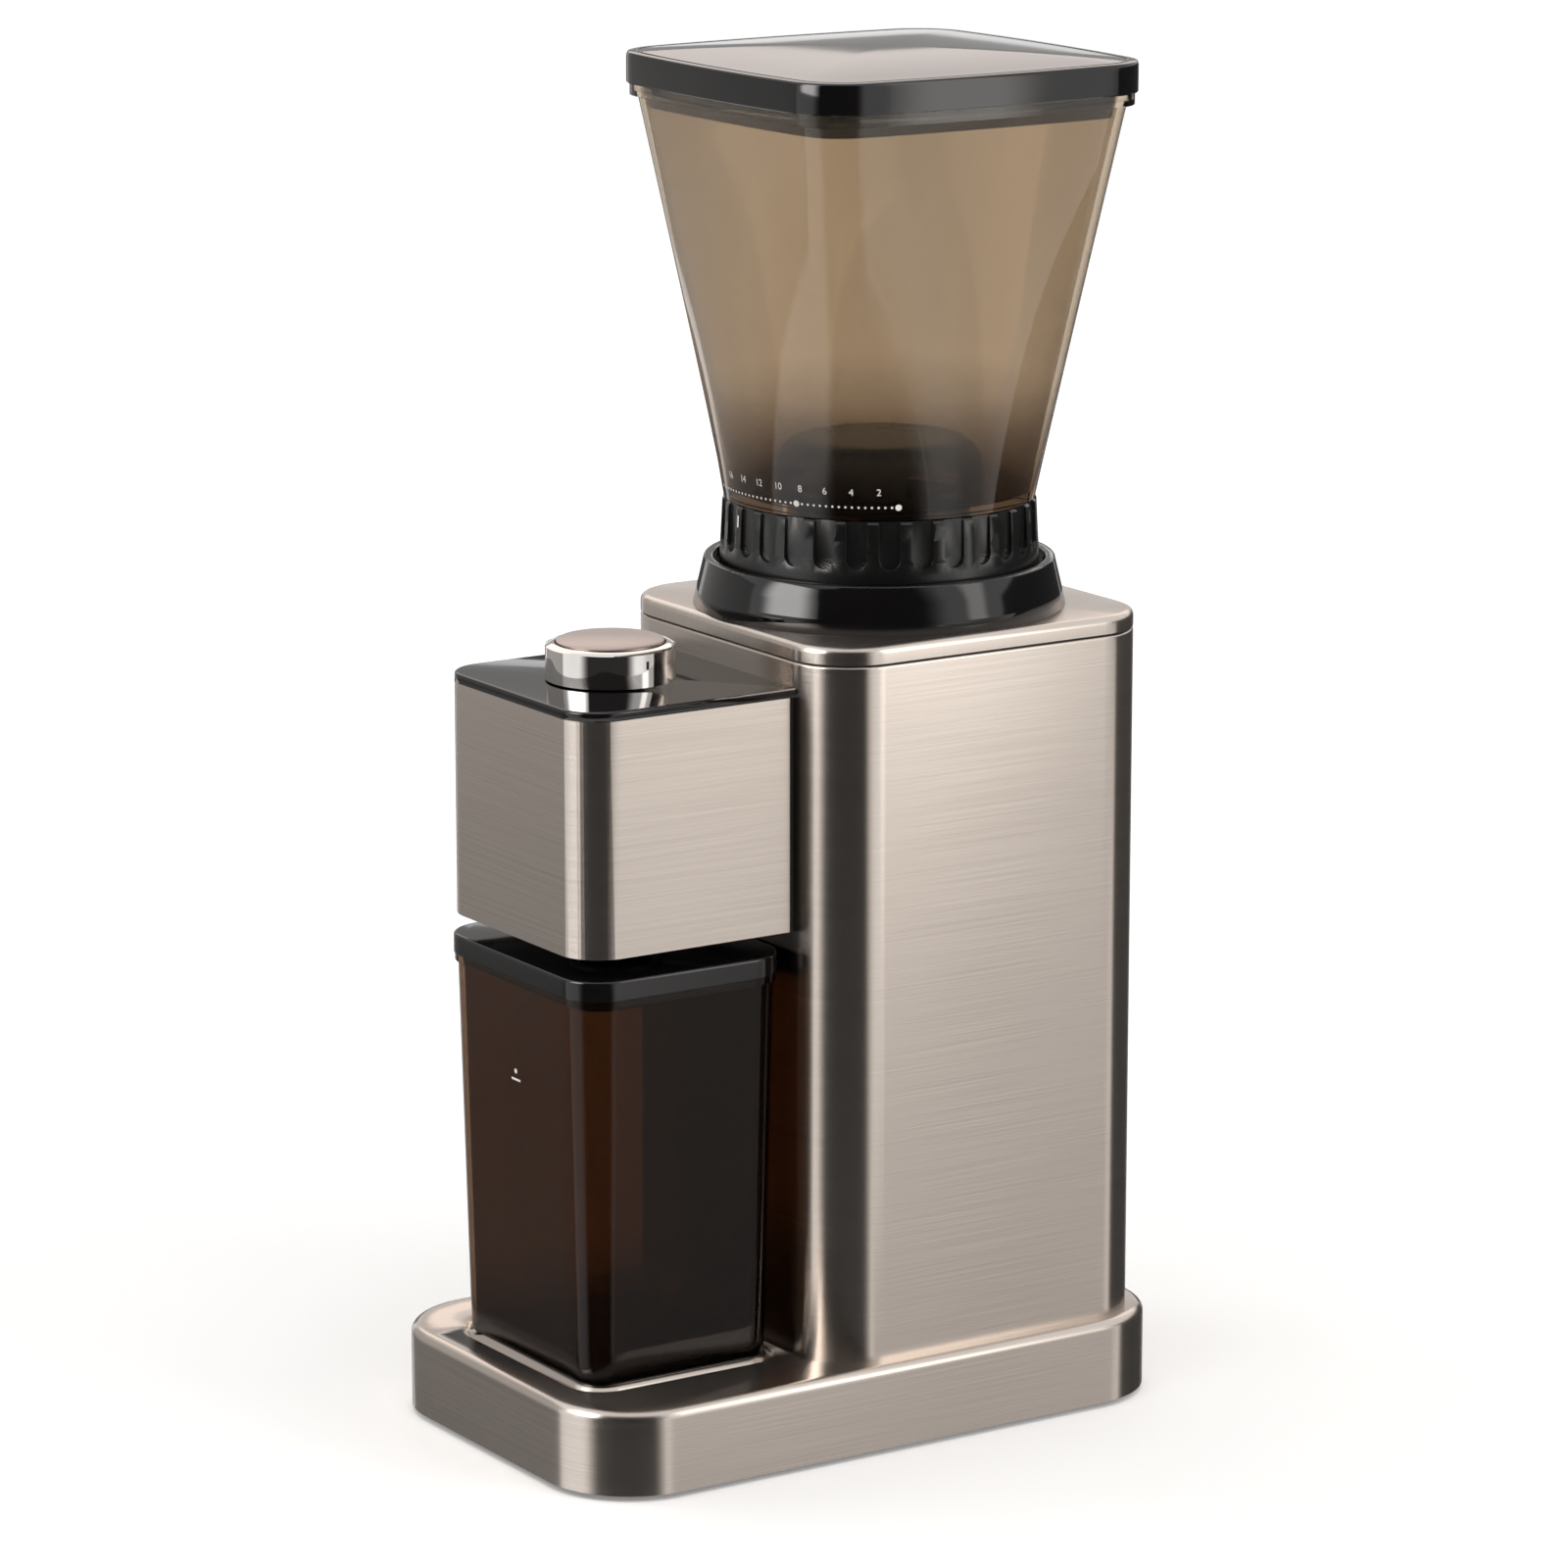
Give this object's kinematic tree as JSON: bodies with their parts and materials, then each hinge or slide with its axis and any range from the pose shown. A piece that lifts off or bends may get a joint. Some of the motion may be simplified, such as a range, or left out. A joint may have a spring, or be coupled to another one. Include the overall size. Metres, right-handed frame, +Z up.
{
  "type": "burr coffee grinder",
  "caption": "Countertop burr coffee grinder with a steel tower, flared bean hopper with lid, grind ring, dose dial with start button and a removable grounds container.",
  "frame": {"origin": "on the floor under the middle of the base", "axes": "+X to the right and +Y to the rear when the container faces the reader, +Z up"},
  "size_m": [0.131, 0.21, 0.4149],
  "materials": {
    "brushed_steel": "fine horizontal brushing",
    "black_gloss": "polished",
    "black_satin": "satin",
    "black_plastic": "fine spark texture",
    "smoked_clear": "clear smoked brown",
    "chrome": "bright polished",
    "satin_metal": "satin",
    "rubber": "matte",
    "screw_steel": "zinc plated",
    "burr_steel": "ground and hardened",
    "cast_aluminium": "die cast",
    "motor_steel": "plated sheet steel",
    "gear_plastic": "natural acetal",
    "circuit_board": "green solder mask"
  },
  "bodies": {
    "stand": {"base_shell": "brushed_steel", "base_plate": "black_plastic", "rubber_feet": "rubber", "base_screws": "screw_steel", "frame_screws": "screw_steel", "cord_gland": "rubber", "power_board": "circuit_board", "tower_shell": "brushed_steel", "top_gasket": "rubber", "top_plate": "brushed_steel", "inner_frame": "black_plastic", "collar": "black_gloss", "mill_housing": "cast_aluminium", "mill_screws": "screw_steel", "upper_bearing": "screw_steel", "lower_bearing": "screw_steel", "gearbox_cover": "cast_aluminium", "gearbox_case": "cast_aluminium", "gearbox_screws": "screw_steel", "countershaft_pin": "screw_steel", "motor_can": "motor_steel", "motor_end_cap": "black_plastic", "motor_screws": "screw_steel", "chute": "black_plastic", "spout": "black_plastic", "head_body": "black_plastic", "head_wrap": "brushed_steel", "head_cap": "black_gloss", "head_screws": "screw_steel", "timer_board": "circuit_board", "dial_encoder": "black_plastic", "start_switch": "black_plastic"},
    "bean_hopper": {"hopper": "smoked_clear", "bean_guard": "black_satin"},
    "bean_lid": {"hopper_lid": "black_gloss", "hopper_lid_seal": "rubber"},
    "adjuster": {"adjust_ring": "black_satin"},
    "upper_burr": {"burr_carrier": "black_plastic", "ring_burr": "burr_steel"},
    "rotor": {"drive_shaft": "screw_steel", "cone_burr": "burr_steel", "burr_screw": "screw_steel", "sweeper": "black_plastic", "output_gear": "gear_plastic"},
    "idler": {"compound_gear": "gear_plastic"},
    "motor_rotor": {"motor_shaft": "screw_steel", "motor_pinion": "screw_steel"},
    "dial": {"dose_dial": "chrome"},
    "button": {"start_button": "satin_metal", "switch_plunger": "gear_plastic"},
    "container": {"grounds_container": "smoked_clear"},
    "container_cover": {"container_lid": "black_gloss", "container_seal": "rubber"}
  },
  "joints": [
    {"name": "hopper_lift", "type": "slide", "parent": "stand", "child": "bean_hopper", "axis": [0, 0, 1], "range_m": [0, 0.06]},
    {"name": "hopper_lid_lift", "type": "slide", "parent": "bean_hopper", "child": "bean_lid", "axis": [0, 0, 1], "range_m": [0, 0.06]},
    {"name": "ring_turn", "type": "hinge", "parent": "stand", "child": "adjuster", "pos_m": [0, 0.03625, 0.2657], "axis": [0, 0, 1], "range_deg": [-12, 68]},
    {"name": "carrier_lift", "type": "slide", "parent": "stand", "child": "upper_burr", "axis": [0, 0, 1], "range_m": [-0.0016, 0.00028]},
    {"name": "burr_spin", "type": "hinge", "parent": "stand", "child": "rotor", "pos_m": [0, 0.03625, 0.216], "axis": [0, 0, 1], "continuous": true},
    {"name": "countershaft_spin", "type": "hinge", "parent": "stand", "child": "idler", "pos_m": [0, 0.06525, 0.176], "axis": [0, 0, 1], "continuous": true},
    {"name": "motor_spin", "type": "hinge", "parent": "stand", "child": "motor_rotor", "pos_m": [0, 0.03625, 0.13], "axis": [0, 0, 1], "continuous": true},
    {"name": "dial_turn", "type": "hinge", "parent": "stand", "child": "dial", "pos_m": [0, -0.0595, 0.239], "axis": [0, 0, 1], "range_deg": [-135, 135]},
    {"name": "button_press", "type": "slide", "parent": "stand", "child": "button", "axis": [0, 0, -1], "range_m": [0, 0.002], "stiffness_N_per_m": 300, "springref_m": -0.001},
    {"name": "container_pull", "type": "slide", "parent": "stand", "child": "container", "axis": [0, -1, 0], "range_m": [0, 0.11]},
    {"name": "container_lid_lift", "type": "slide", "parent": "container", "child": "container_cover", "axis": [0, 0, 1], "range_m": [0, 0.005]}
  ],
  "couplings": [
    {"joint": "ring_turn", "follows": "carrier_lift", "rad_per_m": -740.74},
    {"joint": "countershaft_spin", "follows": "burr_spin", "ratio": -3.1429},
    {"joint": "motor_spin", "follows": "burr_spin", "ratio": 9.8776}
  ]
}
